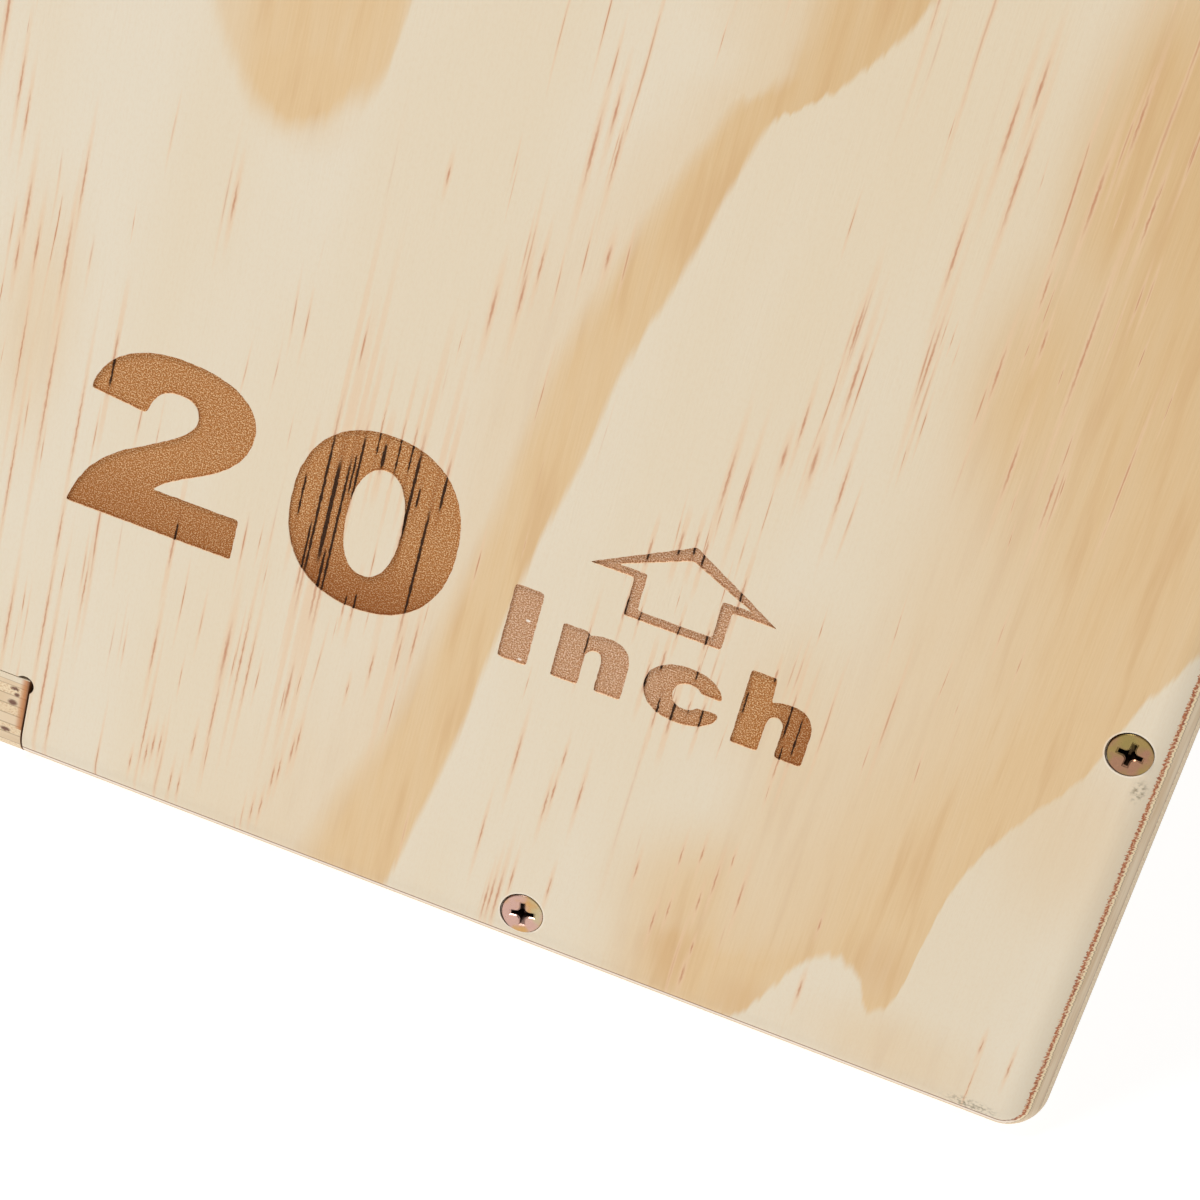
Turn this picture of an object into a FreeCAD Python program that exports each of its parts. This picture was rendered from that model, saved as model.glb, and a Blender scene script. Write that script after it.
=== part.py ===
import FreeCAD, Part
import math
import os

from FreeCAD import Vector

# A plyo box: six interlocking plywood panels round an inner brace, held by countersunk wood screws.
# Millimetres. X runs across the front panel, Y runs from front to back and Z runs up.
# The origin lies on the floor, under the middle of the box.

# Box and sheet
box_width = 609.6
box_depth = 762.0
box_height = 508.0
ply = 19.05
edge_radius = 8.0

# Finger joints, with one finger in the middle of each edge
finger_along_width = 203.2
finger_along_depth = 254.0
finger_along_height = 169.3
finger_side_gap = 0.4
finger_seat_gap = 0.2
cutter_diameter = 4.0
tab_corner_radius = 2.5

# Hand-holds in the two side panels
handhold_length = 120.0
handhold_height = 38.0
handhold_drop = 165.0
handhold_edge_radius = 6.0

# Wood screws with a countersunk head
screw_length = 50.0
shank_diameter = 4.2
head_diameter = 8.0
head_sink = 0.45
tip_length = 7.0
head_clearance = 0.15
shank_clearance = 0.25
pilot_clearance = 0.05
pilot_spare_depth = 2.0
screw_sides = 8
brace_screw_spacing = 240.0

# How far a cutting tool runs past the face that it opens, and the distance at which points are one
overrun = 1.0
same_point = 1e-6

# Sizes that follow from the ones above
half_width = box_width / 2
half_depth = box_depth / 2
half_height = box_height / 2
shank_radius = shank_diameter / 2
head_radius = head_diameter / 2
cutter_radius = cutter_diameter / 2
relief_offset = cutter_radius / math.sqrt(2)
inset = ply / 2

AXIS_X = Vector(1, 0, 0)
AXIS_Y = Vector(0, 1, 0)
AXIS_Z = Vector(0, 0, 1)
BOTH_SIDES = (-1, 1)


def rectangle(low_u, high_u, low_v, high_v):
    return Part.makePlane(high_u - low_u, high_v - low_v, Vector(low_u, low_v, 0))


def relief_disc(u, v):
    circle = Part.makeCircle(cutter_radius, Vector(u, v, 0))
    return Part.Face(Part.Wire(circle))


def turned(shape, degrees):
    copy = shape.copy()
    copy.rotate(Vector(0, 0, 0), AXIS_Z, degrees)
    return copy


# The joint on one edge, drawn for the edge at +u. A notched edge keeps its outer tabs and takes the
# neighbour's finger. A fingered edge stops short by the sheet's thickness, apart from its finger.
# Each inner corner of a notch has a round relief, left by the cutter, so that the finger can seat.

def notch_tool(reach, finger):
    root = reach - ply - finger_seat_gap
    half_notch = finger / 2 + finger_side_gap
    tool = rectangle(root, reach + overrun, -half_notch, half_notch)
    for side in BOTH_SIDES:
        disc = relief_disc(root + relief_offset, side * (half_notch - relief_offset))
        tool = tool.fuse(disc)
    return tool


def shoulder_tool(reach, finger, half_edge):
    upper = rectangle(reach - ply, reach + overrun, finger / 2, half_edge + overrun)
    return upper.fuse(upper.mirror(Vector(0, 0, 0), AXIS_Y))


def mouth_corners(reach, finger):
    half_notch = finger / 2 + finger_side_gap
    return [Vector(reach, side * half_notch, 0) for side in BOTH_SIDES]


def upright_edges(solid, corners):
    found = []
    for edge in solid.Edges:
        ends = [Vector(vertex.X, vertex.Y, 0) for vertex in edge.Vertexes]
        for corner in corners:
            if all(end.isEqual(corner, same_point) for end in ends):
                found.append(edge)
    return found


def panel_blank(width, height, side_joint, end_joint):
    """A flat panel with its outer face on the drawing plane. side_joint is for the edges at
    plus and minus u, and end_joint for the edges at plus and minus v: each a kind and a finger size."""
    profile = rectangle(-width / 2, width / 2, -height / 2, height / 2)
    tab_corners = []
    edges = [(side_joint, width / 2, height / 2, 0), (end_joint, height / 2, width / 2, 90)]
    for (kind, finger), reach, half_edge, first_turn in edges:
        for turn in (first_turn, first_turn + 180):
            if kind == "notch":
                profile = profile.cut(turned(notch_tool(reach, finger), turn))
                to_edge = FreeCAD.Rotation(AXIS_Z, turn)
                tab_corners += [to_edge.multVec(corner) for corner in mouth_corners(reach, finger)]
            else:
                profile = profile.cut(turned(shoulder_tool(reach, finger, half_edge), turn))
    blank = profile.removeSplitter().extrude(Vector(0, 0, -ply))
    if tab_corners:
        blank = blank.makeFillet(tab_corner_radius, upright_edges(blank, tab_corners))
    return blank


def set_in_place(blank, middle, across, up):
    placed = blank.copy()
    placed.Placement = FreeCAD.Placement(middle, FreeCAD.Rotation(across, up, across.cross(up), "XYZ"))
    return placed


def rounded_block():
    block = Part.makeBox(box_width, box_depth, box_height, Vector(-half_width, -half_depth, 0))
    return block.makeFillet(edge_radius, block.Edges)


# Hand-hold: a slot with round ends, drawn on a side panel's outer face and eased on both faces

def handhold_face():
    end_radius = handhold_height / 2
    half_straight = handhold_length / 2 - end_radius
    middle_v = half_height - handhold_drop
    low, high = middle_v - end_radius, middle_v + end_radius
    corners = [Vector(side * half_straight, v, 0) for side, v in ((-1, low), (1, low), (1, high), (-1, high))]
    right_end = Part.Arc(corners[1], Vector(half_straight + end_radius, middle_v, 0), corners[2])
    left_end = Part.Arc(corners[3], Vector(-half_straight - end_radius, middle_v, 0), corners[0])
    outline = [
        Part.LineSegment(corners[0], corners[1]),
        right_end,
        Part.LineSegment(corners[2], corners[3]),
        left_end,
    ]
    return Part.Face(Part.Wire([curve.toShape() for curve in outline]))


def with_handhold(blank):
    slot = handhold_face().extrude(Vector(0, 0, -ply))
    opened = blank.cut(slot)
    near_slot = slot.BoundBox
    near_slot.enlarge(same_point)
    rims = []
    for edge in opened.Edges:
        flat = edge.BoundBox.ZLength < same_point
        if flat and near_slot.isInside(edge.BoundBox):
            rims.append(edge)
    return opened.makeFillet(handhold_edge_radius, rims)


# Screws and their holes, drawn about Z with the panel's face at zero and the point downwards.
# They are small and many, so they have flats, which lie at the stated radius, instead of round walls.

def flat_face(points):
    outline = [point for i, point in enumerate(points) if not point.isEqual(points[i - 1], same_point)]
    return Part.Face(Part.makePolygon(outline + outline[:1]))


def flat_sided(sections):
    """A closed solid through many-sided sections, each a radius to the flats and a height."""
    rings = []
    for radius, height in sections:
        corner_radius = radius / math.cos(math.pi / screw_sides)
        turns = [2 * math.pi * side / screw_sides for side in range(screw_sides)]
        rings.append([Vector(corner_radius * math.cos(a), corner_radius * math.sin(a), height) for a in turns])
    faces = [flat_face(rings[0])]
    last_radius = sections[-1][0]
    if last_radius > 0:
        faces.append(flat_face(rings[-1]))
    for upper, lower in zip(rings, rings[1:]):
        for i in range(screw_sides):
            faces.append(flat_face([upper[i - 1], upper[i], lower[i], lower[i - 1]]))
    return Part.Solid(Part.Shell(faces))


def screw_solid():
    neck = -head_sink - (head_radius - shank_radius)
    return flat_sided([
        (head_radius, -head_sink),
        (shank_radius, neck),
        (shank_radius, tip_length - screw_length),
        (0, -screw_length),
    ])


def countersunk_hole():
    mouth_radius = head_radius + head_clearance + head_sink
    hole_radius = shank_radius + shank_clearance
    return flat_sided([
        (mouth_radius + overrun, overrun),
        (hole_radius, hole_radius - mouth_radius),
        (hole_radius, -ply - overrun),
    ])


def pilot_hole():
    pilot_radius = shank_radius + pilot_clearance
    return flat_sided([(pilot_radius, 0), (pilot_radius, -screw_length - pilot_spare_depth)])


def driven(shape, point, inward):
    placed = shape.copy()
    placed.Placement = FreeCAD.Placement(point, FreeCAD.Rotation(AXIS_Z.negative(), inward))
    return placed


def tab_middle(outer_end, finger):
    return (outer_end + finger / 2) / 2


def screw_rows():
    """Each row of screws: the panel that it goes through, the piece that it bites, the points where
    it enters and the way that it is driven. One screw stands in the middle of each tab."""
    tab_x = tab_middle(half_width, finger_along_width)
    tab_y = tab_middle(half_depth - ply, finger_along_depth)
    tab_z = tab_middle(half_height, finger_along_height)
    low_edge, high_edge = inset, box_height - inset
    side_edge = half_width - inset
    rows = []
    for outer, facing in (("front", -1), ("back", 1)):
        y = facing * half_depth
        inward = AXIS_Y * -facing
        for inner, z in (("bottom", low_edge), ("top", high_edge)):
            points = [Vector(side * tab_x, y, z) for side in BOTH_SIDES]
            rows.append((outer, inner, points, inward))
        for inner, x in (("left", -side_edge), ("right", side_edge)):
            points = [Vector(x, y, half_height + side * tab_z) for side in BOTH_SIDES]
            rows.append((outer, inner, points, inward))
        brace_points = [Vector(0, y, half_height + side * brace_screw_spacing / 2) for side in BOTH_SIDES]
        rows.append((outer, "brace", brace_points, inward))
    for outer, z, inward in (("bottom", 0, AXIS_Z), ("top", box_height, AXIS_Z.negative())):
        for inner, x in (("left", -side_edge), ("right", side_edge)):
            points = [Vector(x, side * tab_y, z) for side in BOTH_SIDES]
            rows.append((outer, inner, points, inward))
    return rows


# Panels, each placed with its outer face on the box's own face

def build_panels():
    end_blank = panel_blank(
        box_width, box_height, ("notch", finger_along_height), ("notch", finger_along_width))
    side_blank = panel_blank(
        box_depth, box_height, ("finger", finger_along_height), ("finger", finger_along_depth))
    flat_blank = panel_blank(
        box_width, box_depth, ("notch", finger_along_depth), ("finger", finger_along_width))
    side_blank = with_handhold(side_blank)
    left, front = AXIS_X.negative(), AXIS_Y.negative()
    middle = Vector(0, 0, half_height)
    blanks = {
        "front": (end_blank, middle + front * half_depth, AXIS_X, AXIS_Z),
        "back": (end_blank, middle + AXIS_Y * half_depth, left, AXIS_Z),
        "left": (side_blank, middle + left * half_width, front, AXIS_Z),
        "right": (side_blank, middle + AXIS_X * half_width, AXIS_Y, AXIS_Z),
        "top": (flat_blank, middle + AXIS_Z * half_height, AXIS_X, AXIS_Y),
        "bottom": (flat_blank, middle - AXIS_Z * half_height, left, AXIS_Y),
    }
    block = rounded_block()
    panels = {name: set_in_place(*blank).common(block) for name, blank in blanks.items()}
    panels["brace"] = Part.makeBox(
        ply,
        box_depth - 2 * ply,
        box_height - 2 * ply,
        Vector(-ply / 2, ply - half_depth, ply),
    )
    return panels


def build_parts():
    panels = build_panels()
    cuts = {name: [] for name in panels}
    parts = {}
    screw, through, pilot = screw_solid(), countersunk_hole(), pilot_hole()
    for outer, inner, points, inward in screw_rows():
        cuts[outer] += [driven(through, point, inward) for point in points]
        cuts[inner] += [driven(pilot, point, inward) for point in points]
        screws = [driven(screw, point, inward) for point in points]
        parts[f"{outer}_to_{inner}_screws"] = Part.makeCompound(screws)
    for name, panel in panels.items():
        node = "centre_brace" if name == "brace" else f"{name}_panel"
        parts[node] = panel.cut(cuts[name]) if cuts[name] else panel
    return parts


os.makedirs("parts", exist_ok=True)
for node, shape in build_parts().items():
    shape.exportStep(f"parts/{node}.step")
    print(node, len(shape.Solids), "solids", round(shape.Volume), "mm3", "valid", shape.isValid())
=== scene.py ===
import math
from functools import partialmethod, reduce

import bmesh
import bpy
from mathutils import Matrix, Vector, noise


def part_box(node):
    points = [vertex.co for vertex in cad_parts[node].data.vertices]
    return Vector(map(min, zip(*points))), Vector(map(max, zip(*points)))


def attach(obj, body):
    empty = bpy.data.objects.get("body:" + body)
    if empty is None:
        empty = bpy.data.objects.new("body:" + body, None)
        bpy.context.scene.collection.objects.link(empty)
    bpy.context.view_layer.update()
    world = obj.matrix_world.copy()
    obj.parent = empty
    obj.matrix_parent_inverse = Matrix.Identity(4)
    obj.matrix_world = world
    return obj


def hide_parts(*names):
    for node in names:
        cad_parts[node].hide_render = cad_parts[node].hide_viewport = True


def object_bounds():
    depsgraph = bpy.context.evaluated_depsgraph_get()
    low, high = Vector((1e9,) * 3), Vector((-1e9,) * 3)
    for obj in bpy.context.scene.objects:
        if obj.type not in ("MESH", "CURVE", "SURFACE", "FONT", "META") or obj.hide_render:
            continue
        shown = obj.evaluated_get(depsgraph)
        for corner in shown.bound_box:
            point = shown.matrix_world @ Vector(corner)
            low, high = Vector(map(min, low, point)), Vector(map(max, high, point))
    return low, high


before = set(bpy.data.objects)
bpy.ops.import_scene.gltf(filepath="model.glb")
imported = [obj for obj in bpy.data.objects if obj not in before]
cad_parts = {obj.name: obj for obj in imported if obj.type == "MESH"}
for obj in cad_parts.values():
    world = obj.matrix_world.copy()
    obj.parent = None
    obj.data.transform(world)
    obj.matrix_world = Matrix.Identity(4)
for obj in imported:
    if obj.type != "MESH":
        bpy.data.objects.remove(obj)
cad_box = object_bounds()

# The looks of a plywood plyo box: pine panels with rounded edges, zinc screws and a burnt-in size mark.
# Metres, in the frame of the solids. Sizes in millimetres are multiplied by MM where geometry is made,
# and the materials work in millimetres throughout.
MM = 0.001
X, Y, Z = 0, 1, 2
BODY = "root"

# Each panel: the axis that its outer face looks along, the side, and the axis of its face grain
PANELS = {
    "front_panel": (Y, -1, Z),
    "back_panel": (Y, 1, Z),
    "left_panel": (X, -1, Y),
    "right_panel": (X, 1, Y),
    "top_panel": (Z, 1, Y),
    "bottom_panel": (Z, -1, Y),
    "centre_brace": (X, 1, Y),
}
SCREW_GROUPS = sorted(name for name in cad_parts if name.endswith("_screws"))
BOXES = {name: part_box(name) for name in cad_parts}

# Sheet
PLY = 19.05
EDGE_RADIUS = 8.0
EDGE_STEPS = 9
SECTION_DEPTH = 12.4
HANDHOLD_RIM = 6.0
HANDHOLD_STEPS = 8
SMOOTH_ANGLE = math.radians(32)
STRAIGHT_ANGLE = math.radians(0.3)
SAME_POINT = 0.001 * MM

# Layers of the sheet, from the outer face inwards: two thin veneers, seven core plies, two thin veneers
FACE_VENEER = 1.2
UNDER_VENEER = 0.9
CORE_PLIES = 7
LAYERS = CORE_PLIES + 4

# Screws
HEAD_RADIUS = 4.0
HEAD_SINK = 0.06
SHANK_RADIUS = 2.1
SHANK_CLEARANCE = 0.25
PILOT_CLEARANCE = 0.05
SCREW_LENGTH = 50.0
PILOT_SPARE = 2.0
TIP_LENGTH = 7.0
TIP_RADIUS = 0.3
TIP_BLUNTED = 0.2
ROUND_STEPS = 48

# A head's worn rim, as distances inside its radius and below its face, and the neck under its cone,
# as distances outside the shank and below the cone
HEAD_RIM = [(0.2, 0.0), (0.15, 0.02), (0.03, 0.13), (0.0, 0.22)]
NECK = [(0.15, 0.05), (0.0, 0.5)]

# A countersink's mouth is a little wide, and the screw stands a little to one side in it
POCKET_RADIUS = 4.2
POCKET_DEPTH = 0.75
POCKET_SHIFT = (-0.16, 0.1)

# Cross recess of a screw, level by level: half span and half width of its wings, and depth in the head
CROSS_SPAN = 2.3
CROSS_LOBE = 1.38
CROSS_BEVEL = [(2.62, 0.7, -0.1), (2.3, 0.46, 0.2)]
CROSS_PIT = [(2.28, 0.45, -0.1), (2.2, 0.43, 0.2), (1.1, 0.2, 2.3)]

# How far the two screws that the photograph shows are turned, in degrees, by group and number
SEEN_TURNS = {("front_to_bottom_screws", 1): 12.0, ("front_to_right_screws", 0): -4.0}
TURN_STEP = 137.5

# Two batches of screws: their tints, and where in the noise each finds the patches of the second and third.
# The seen screw at the side is of the darker batch.
ZINC_BATCHES = {
    "rosy_zinc": ([(0.54, 0.34, 0.28), (0.54, 0.31, 0.12), (0.48, 0.42, 0.25)], (107.5, 91.5)),
    "olive_zinc": ([(0.32, 0.22, 0.08), (0.34, 0.18, 0.11), (0.27, 0.21, 0.07)], (28.0, 171.0)),
}
DARK_GROUP = "front_to_right_screws"
# The cross recesses take a darker copy of their batch's zinc: painted shade in the recess
PIT_SHADE = 0.25
SHEEN_SIZE = 4.2
TINT_SIZE = 5.0
SCUFF_SIZE = 0.35

# Burnt-in mark
MARK_DEPTH = 0.45
WEAR_STEP = 0.35
WEAR_ROUNDS = 3
WEAR_LENGTH = 1.1
WEAR = 0.1
WEAR_SEED = 7
OVERRUN = 1.0
CURVE_STEPS = 14

# Camera, worked out from the photograph's vanishing lines
CAMERA_PLACE = Vector((270.1, -842.1, 338.3)) * MM
CAMERA_AIM = Vector((201.1, -381.0, 77.7)) * MM
CAMERA_ROLL = math.radians(15.93)
CAMERA_LENS = 92.28

# Studio, in metres. The floor glows a little, to be as white as the photograph's background.
WHITE = (1, 1, 1, 1)
FLOOR_HALF = 12
FLOOR_DROP = 0.2 * MM
FLOOR_GREY = (0.3, 0.3, 0.3, 1)
FLOOR_GLOW = 0.88
SKY_STRENGTH = 0.25
KEY_PLACE = Vector((-0.8, -1.4, 2.6))
KEY_AIM = Vector((0, -0.38, 0.2))
KEY_WIDTH = 1.0
KEY_POWER = 62


def axis_vector(axis, length=1.0):
    vector = Vector()
    vector[axis] = length
    return vector


def outer_level(node):
    """Where a panel's outer face lies along its own axis."""
    normal, side, _ = PANELS[node]
    low, high = BOXES[node]
    return high[normal] if side > 0 else low[normal]


# Mesh helpers

def new_piece(name, made, *materials):
    """A mesh object from a bmesh, which is used up."""
    mesh = bpy.data.meshes.new(name)
    bmesh.ops.recalc_face_normals(made, faces=made.faces)
    made.to_mesh(mesh)
    made.free()
    for material in materials:
        mesh.materials.append(material)
    piece = bpy.data.objects.new(name, mesh)
    bpy.context.scene.collection.objects.link(piece)
    return piece


def applied(piece):
    """Turns a piece's modifiers into its mesh."""
    graph = bpy.context.evaluated_depsgraph_get()
    mesh = bpy.data.meshes.new_from_object(piece.evaluated_get(graph))
    old = piece.data
    piece.modifiers.clear()
    piece.data = mesh
    bpy.data.meshes.remove(old)


def carve(piece, tool):
    """Cuts a tool's shape out of a piece. The cut faces take the tool's material."""
    cut = piece.modifiers.new("carve", "BOOLEAN")
    cut.operation = "DIFFERENCE"
    cut.solver = "EXACT"
    cut.material_mode = "TRANSFER"
    cut.object = tool
    applied(piece)
    bpy.data.objects.remove(tool)


def smooth(piece):
    """Round faces shade round and flat ones flat."""
    mesh = piece.data
    mesh.polygons.foreach_set("use_smooth", [True] * len(mesh.polygons))
    mesh.set_sharp_from_angle(angle=SMOOTH_ANGLE)
    weighted = piece.modifiers.new("weighted", "WEIGHTED_NORMAL")
    weighted.keep_sharp = True
    applied(piece)


def dressed(piece, node):
    """Puts a finished piece in place of a node."""
    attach(piece, BODY)
    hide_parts(node)


def skin(made, rings):
    """Quads between rings of equal length, with flat caps at both ends."""
    for first, second in zip(rings, rings[1:]):
        for i in range(len(first)):
            made.faces.new((first[i - 1], first[i], second[i], second[i - 1]))
    made.faces.new(rings[0])
    made.faces.new(rings[-1])


def thicken(made, step):
    """Turns flat faces into solids that reach one step away."""
    grown = bmesh.ops.extrude_face_region(made, geom=made.faces[:], use_keep_orig=True)
    moved = [item for item in grown["geom"] if isinstance(item, bmesh.types.BMVert)]
    bmesh.ops.translate(made, verts=moved, vec=step)


# Panels. Each outline is read from its solid, cut where neither rounded edges nor screws reach.

def section_loops(node):
    normal, side, _ = PANELS[node]
    cut = bmesh.new()
    cut.from_mesh(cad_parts[node].data)
    bmesh.ops.remove_doubles(cut, verts=cut.verts, dist=SAME_POINT)
    bmesh.ops.bisect_plane(
        cut,
        geom=cut.verts[:] + cut.edges[:] + cut.faces[:],
        plane_co=axis_vector(normal, outer_level(node) - side * SECTION_DEPTH * MM),
        plane_no=axis_vector(normal),
        clear_inner=True,
        clear_outer=True,
    )
    loops = []
    waiting = dict.fromkeys(cut.verts)
    while waiting:
        vertex = next(iter(waiting))
        loop = []
        while vertex:
            del waiting[vertex]
            loop.append(vertex.co.copy())
            ahead = [edge.other_vert(vertex) for edge in vertex.link_edges]
            vertex = next((other for other in ahead if other in waiting), None)
        loops.append(without_straight_points(loop))
    cut.free()
    return sorted(loops, key=loop_length, reverse=True)


def without_straight_points(points):
    kept = []
    for i, point in enumerate(points):
        before = point - points[i - 1]
        after = points[(i + 1) % len(points)] - point
        if before.angle(after, 0.0) > STRAIGHT_ANGLE:
            kept.append(point)
    return kept


def loop_length(points):
    return sum((point - points[i - 1]).length for i, point in enumerate(points))


def rounded(point):
    """A point of the square box, pressed onto the box with rounded edges."""
    radius = EDGE_RADIUS * MM
    low, high = cad_box
    core = Vector([min(max(point[i], low[i] + radius), high[i] - radius) for i in range(3)])
    out = point - core
    if out.length <= radius:
        return point
    return core + out.normalized() * radius


def slab(node, material):
    """A panel with rounded outer edges, before any holes."""
    normal, side, _ = PANELS[node]
    made = bmesh.new()
    level = outer_level(node)
    ring = []
    for point in section_loops(node)[0]:
        point[normal] = level
        ring.append(made.verts.new(point))
    made.faces.new(ring)
    thicken(made, axis_vector(normal, -side * PLY * MM))
    for axis in (X, Y, Z):
        for inward, corner in zip((1, -1), cad_box):
            for step in range(EDGE_STEPS):
                angle = math.radians(45) * step / EDGE_STEPS
                inset = EDGE_RADIUS * (1 - math.tan(angle)) * MM
                bmesh.ops.bisect_plane(
                    made,
                    geom=made.verts[:] + made.edges[:] + made.faces[:],
                    plane_co=axis_vector(axis, corner[axis] + inward * inset),
                    plane_no=axis_vector(axis),
                )
    for vertex in made.verts:
        vertex.co = rounded(vertex.co)
    return new_piece(f"{node}_ply", made, material)


def handhold_tool(node, material):
    """The hand-hold's slot, which opens in a quarter round towards both faces."""
    normal, side, _ = PANELS[node]
    loop = section_loops(node)[1]
    middle = sum(loop, Vector()) / len(loop)
    level = outer_level(node)
    outward = axis_vector(normal, side)
    stations = [(-OVERRUN, HANDHOLD_RIM)]
    for step in range(HANDHOLD_STEPS + 1):
        angle = math.radians(90) * step / HANDHOLD_STEPS
        stations.append((HANDHOLD_RIM * (1 - math.cos(angle)), HANDHOLD_RIM * (1 - math.sin(angle))))
    stations += [(PLY - depth, grow) for depth, grow in reversed(stations)]
    made = bmesh.new()
    rings = []
    for depth, grow in stations:
        ring = []
        for i, point in enumerate(loop):
            tangent = loop[(i + 1) % len(loop)] - loop[i - 1]
            away = tangent.cross(outward).normalized()
            if away.dot(point - middle) < 0:
                away.negate()
            place = point + away * grow * MM
            place[normal] = level - side * depth * MM
            ring.append(made.verts.new(place))
        rings.append(ring)
    skin(made, rings)
    return new_piece("handhold_tool", made, material)


# Screws, one group of two for each joint between panels. A group's name says which panels it joins.

def joined_panels(group):
    outer, _, inner, _ = group.split("_")
    return f"{outer}_panel", "centre_brace" if inner == "brace" else f"{inner}_panel"


def screw_places(group):
    """Where the two screws of a group meet the outer face, each as a matrix that drives it in."""
    outer_panel, _ = joined_panels(group)
    normal, side, _ = PANELS[outer_panel]
    low, high = BOXES[group]
    narrow, wide = sorted({X, Y, Z} - {normal}, key=lambda axis: high[axis] - low[axis])
    half_head = (high[narrow] - low[narrow]) / 2
    turn = axis_vector(Z).rotation_difference(axis_vector(normal, side)).to_matrix().to_4x4()
    places = []
    for along in (low[wide] + half_head, high[wide] - half_head):
        place = Vector()
        place[normal] = outer_level(outer_panel)
        place[narrow] = (low[narrow] + high[narrow]) / 2
        place[wide] = along
        places.append(Matrix.Translation(place) @ turn)
    return places


def turned(made, stations, matrix):
    """Adds a turned shape through stations, each a radius and a depth in millimetres."""
    rings = []
    for radius, depth in stations:
        ring = []
        for step in range(ROUND_STEPS):
            angle = 2 * math.pi * step / ROUND_STEPS
            point = Vector((radius * math.cos(angle), radius * math.sin(angle), -depth)) * MM
            ring.append(made.verts.new(matrix @ point))
        rings.append(ring)
    skin(made, rings)


def hole_tool(node, material):
    """Every screw hole of a panel: countersunk where screws go through it, plain where they bite."""
    made = bmesh.new()
    hole = SHANK_RADIUS + SHANK_CLEARANCE
    pilot = SHANK_RADIUS + PILOT_CLEARANCE
    through = [
        (POCKET_RADIUS, -OVERRUN),
        (POCKET_RADIUS, POCKET_DEPTH),
        (hole, POCKET_DEPTH + POCKET_RADIUS - hole),
        (hole, PLY + OVERRUN),
    ]
    shift = Matrix.Translation(Vector((*POCKET_SHIFT, 0)) * MM)
    bite = [(pilot, PLY - OVERRUN), (pilot, SCREW_LENGTH + PILOT_SPARE)]
    for group in SCREW_GROUPS:
        outer_panel, inner_panel = joined_panels(group)
        if node in (outer_panel, inner_panel):
            for matrix in screw_places(group):
                if node == outer_panel:
                    turned(made, through, matrix @ shift)
                else:
                    turned(made, bite, matrix)
    return new_piece("hole_tool", made, material)


def cross_ring(made, matrix, span, wing, depth):
    """One level of the cross recess: four wings with round lobes of the head between them."""
    middle = CROSS_LOBE * min(1, span / CROSS_SPAN)
    lobe = middle - wing
    quarter = [Vector((span, -wing, -depth)), Vector((span, wing, -depth))]
    for step in range(CURVE_STEPS + 1):
        angle = -math.pi / 2 - math.pi / 2 * step / CURVE_STEPS
        quarter.append(Vector((middle + lobe * math.cos(angle), middle + lobe * math.sin(angle), -depth)))
    ring = []
    for turn in range(4):
        spin = Matrix.Rotation(turn * math.pi / 2, 3, "Z")
        ring += [made.verts.new(matrix @ (spin @ point * MM)) for point in quarter]
    return ring


def cross_tool(group, levels, material):
    """The cross recesses of a group's two screws, between the given levels."""
    made = bmesh.new()
    for number, matrix in enumerate(screw_places(group)):
        unseen = TURN_STEP * (2 * SCREW_GROUPS.index(group) + number)
        turn = math.radians(SEEN_TURNS.get((group, number), unseen))
        spun = matrix @ Matrix.Rotation(turn, 4, "Z")
        skin(made, [cross_ring(made, spun, span, wing, HEAD_SINK + depth) for span, wing, depth in levels])
    return new_piece("cross_tool", made, material)


def screw_pair(group, plate, pit):
    """A group's two screws: a flat countersunk head with a cross recess, a shank and a point."""
    neck = HEAD_SINK + HEAD_RADIUS - SHANK_RADIUS
    stations = [(HEAD_RADIUS - inside, HEAD_SINK + below) for inside, below in HEAD_RIM]
    stations += [(SHANK_RADIUS + outside, neck + below) for outside, below in NECK]
    stations += [(SHANK_RADIUS, SCREW_LENGTH - TIP_LENGTH), (TIP_RADIUS, SCREW_LENGTH - TIP_BLUNTED)]
    made = bmesh.new()
    for matrix in screw_places(group):
        turned(made, stations, matrix)
    pair = new_piece(f"{group}_zinc", made, plate)
    carve(pair, cross_tool(group, CROSS_BEVEL, plate))
    carve(pair, cross_tool(group, CROSS_PIT, pit))
    return pair


# Size mark, in millimetres from the front panel's right-hand edge and from its lower edge

DIGIT_TWO = [
    (-201.6, 82.8),
    ((-200.9, 89.9), (-194.5, 94.1), (-186.0, 94.1)),
    ((-176.5, 94.1), (-170.4, 90.8), (-170.4, 84.6)),
    ((-170.4, 79.2), (-174.5, 75.6), (-179.5, 72.8)),
    ((-182.8, 71.0), (-185.4, 69.4), (-187.0, 67.5)),
    (-170.2, 67.5),
    (-170.3, 59.2),
    (-202.7, 59.2),
    ((-200.6, 68.4), (-196.0, 71.7), (-190.0, 75.3)),
    ((-184.6, 78.7), (-181.1, 80.9), (-181.1, 83.8)),
    ((-181.1, 86.0), (-182.6, 87.3), (-185.3, 87.3)),
    ((-188.6, 87.3), (-190.0, 85.6), (-190.8, 81.7)),
]
LETTER_C = [
    (-78.1, 67.4),
    ((-79.1, 69.8), (-81.7, 71.1), (-85.0, 71.1)),
    ((-89.1, 71.1), (-92.3, 69.0), (-92.3, 65.5)),
    ((-92.3, 62.0), (-89.2, 59.7), (-85.0, 59.7)),
    ((-81.3, 59.7), (-78.4, 61.2), (-77.9, 63.6)),
    (-78.3, 64.2),
    (-82.0, 64.0),
    ((-82.5, 63.3), (-83.1, 62.9), (-84.2, 62.9)),
    ((-85.9, 62.9), (-86.9, 63.9), (-86.9, 65.4)),
    ((-86.9, 66.9), (-85.9, 67.9), (-84.2, 67.9)),
    ((-83.1, 67.9), (-82.4, 67.5), (-82.0, 66.9)),
    (-78.3, 66.8),
]
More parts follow.
